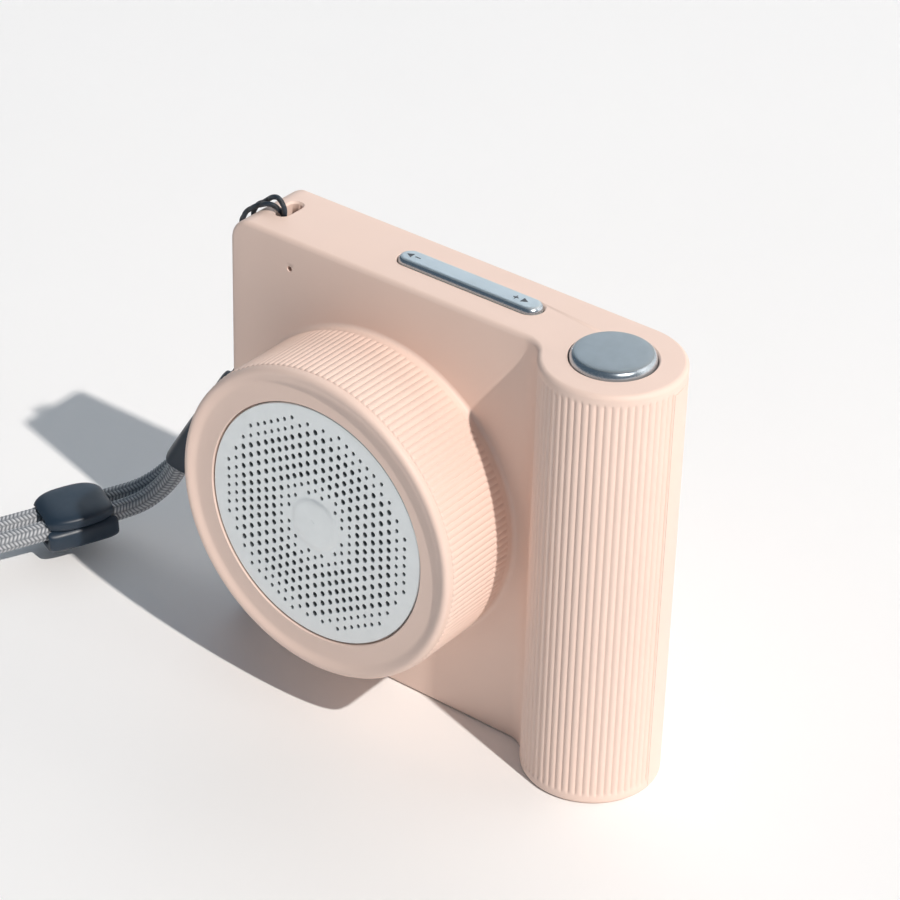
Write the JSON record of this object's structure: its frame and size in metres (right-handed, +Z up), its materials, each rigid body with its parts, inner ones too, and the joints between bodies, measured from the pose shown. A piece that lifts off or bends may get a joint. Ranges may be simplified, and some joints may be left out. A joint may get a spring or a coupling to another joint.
{
  "type": "portable speaker",
  "caption": "Camera-shaped portable speaker: flat pink body with a round grip, ribbed barrel with a perforated metal grille, metal top keys and a braided wrist strap.",
  "frame": {"origin": "centre of the underside of the body, under the middle of its width and depth, strap not counted", "axes": "+Z up, -Y the way the loudspeaker faces, +X towards the grip"},
  "size_m": [0.1961, 0.0616, 0.0932],
  "materials": {
    "shell": "fine matt soft-touch paint",
    "grille_metal": "satin, bead-blasted and anodised",
    "mesh_cloth": "fine black acoustic mesh",
    "basket_paint": "black powder paint",
    "foam": "closed-cell foam",
    "plated_steel": "plated, lightly brushed",
    "ferrite": "fine dark sintered surface",
    "copper": "enamelled winding",
    "paper_cone": "fibrous pressed pulp",
    "soft_rubber": "soft matt rubber",
    "resin_cloth": "woven cloth stiffened with resin",
    "brown_laminate": "paper laminate",
    "key_metal": "satin top, polished edge",
    "black_plastic": "moulded",
    "chip_black": "moulded epoxy",
    "ivory_plastic": "moulded",
    "circuit_board": "solder mask over glass laminate",
    "amber_film": "polyimide film",
    "cell_can": "shrink-wrapped can",
    "lead_red": "insulated wire",
    "lead_black": "insulated wire",
    "navy_cord": "twisted cord",
    "navy_plastic": "moulded, soft sheen",
    "silver_braid": "flat braided cord"
  },
  "bodies": {
    "housing": {"front_shell": "shell", "rear_cover": "shell", "barrel_tube": "shell", "barrel_sleeve": "shell", "front_ring": "shell", "grille": "grille_metal", "dust_mesh": "mesh_cloth", "driver_basket": "basket_paint", "driver_gasket": "foam", "driver_top_plate": "plated_steel", "driver_magnet": "ferrite", "driver_yoke": "plated_steel", "driver_surround": "soft_rubber", "driver_spider": "resin_cloth", "driver_terminal": "brown_laminate", "power_switch_body": "black_plastic", "volume_down_switch_body": "black_plastic", "volume_up_switch_body": "black_plastic", "key_board": "circuit_board", "key_board_screw_1": "plated_steel", "key_board_screw_2": "plated_steel", "main_board": "circuit_board", "main_board_screw_1": "plated_steel", "main_board_screw_2": "plated_steel", "radio_module": "plated_steel", "amplifier_chip": "chip_black", "charger_chip": "chip_black", "battery_connector": "ivory_plastic", "speaker_connector": "ivory_plastic", "usb_c_socket": "plated_steel", "key_ribbon": "amber_film", "microphone": "plated_steel", "microphone_boot": "soft_rubber", "battery_cell": "cell_can", "battery_clip_lower": "black_plastic", "battery_clip_upper": "black_plastic", "battery_foam_pad": "foam", "battery_lead_red": "lead_red", "battery_lead_black": "lead_black", "speaker_lead_red": "lead_red", "speaker_lead_black": "lead_black", "microphone_lead": "lead_black", "cover_screw_1": "plated_steel", "cover_screw_2": "plated_steel", "cover_screw_3": "plated_steel", "cover_screw_4": "plated_steel", "strap_thin_cord": "navy_cord", "strap_end_cap": "navy_plastic", "strap_braid": "silver_braid"},
    "power_key": {"power_button": "key_metal"},
    "power_plunger": {"power_switch_plunger": "ivory_plastic"},
    "volume_key": {"volume_rocker": "key_metal"},
    "volume_down_plunger": {"volume_down_switch_plunger": "ivory_plastic"},
    "volume_up_plunger": {"volume_up_switch_plunger": "ivory_plastic"},
    "cone_assembly": {"driver_cone": "paper_cone", "driver_dust_cap": "paper_cone", "voice_coil": "copper"},
    "slider": {"strap_slider": "navy_plastic"}
  },
  "joints": [
    {"name": "power_press", "type": "slide", "parent": "housing", "child": "power_key", "axis": [0, 0, -1], "range_m": [0, 0.0006], "stiffness_N_per_m": 2500},
    {"name": "power_plunger_travel", "type": "slide", "parent": "housing", "child": "power_plunger", "axis": [0, 0, -1], "range_m": [0, 0.0004]},
    {"name": "volume_rock", "type": "hinge", "parent": "housing", "child": "volume_key", "pos_m": [0.0008, 0.01, 0.0852], "axis": [0, 1, 0], "range_deg": [-1.8, 1.8], "stiffness_Nm_per_rad": 0.6},
    {"name": "volume_down_plunger_travel", "type": "slide", "parent": "housing", "child": "volume_down_plunger", "axis": [0, 0, -1], "range_m": [-0.00025, 0.00025]},
    {"name": "volume_up_plunger_travel", "type": "slide", "parent": "housing", "child": "volume_up_plunger", "axis": [0, 0, -1], "range_m": [-0.00025, 0.00025]},
    {"name": "cone_excursion", "type": "slide", "parent": "housing", "child": "cone_assembly", "axis": [0, -1, 0], "range_m": [-0.0012, 0.0012], "stiffness_N_per_m": 1800, "deforming": ["driver_surround", "driver_spider"]},
    {"name": "slider_along_strap", "type": "slide", "parent": "housing", "child": "slider", "axis": [-0.4591, -0.8863, -0.061], "range_m": [-0.0008, 0.008]}
  ],
  "couplings": [
    {"joint": "power_plunger_travel", "follows": "power_press", "ratio": 0.6},
    {"joint": "volume_up_plunger_travel", "follows": "volume_rock", "m_per_rad": 0.0072},
    {"joint": "volume_down_plunger_travel", "follows": "volume_rock", "m_per_rad": -0.0072}
  ]
}
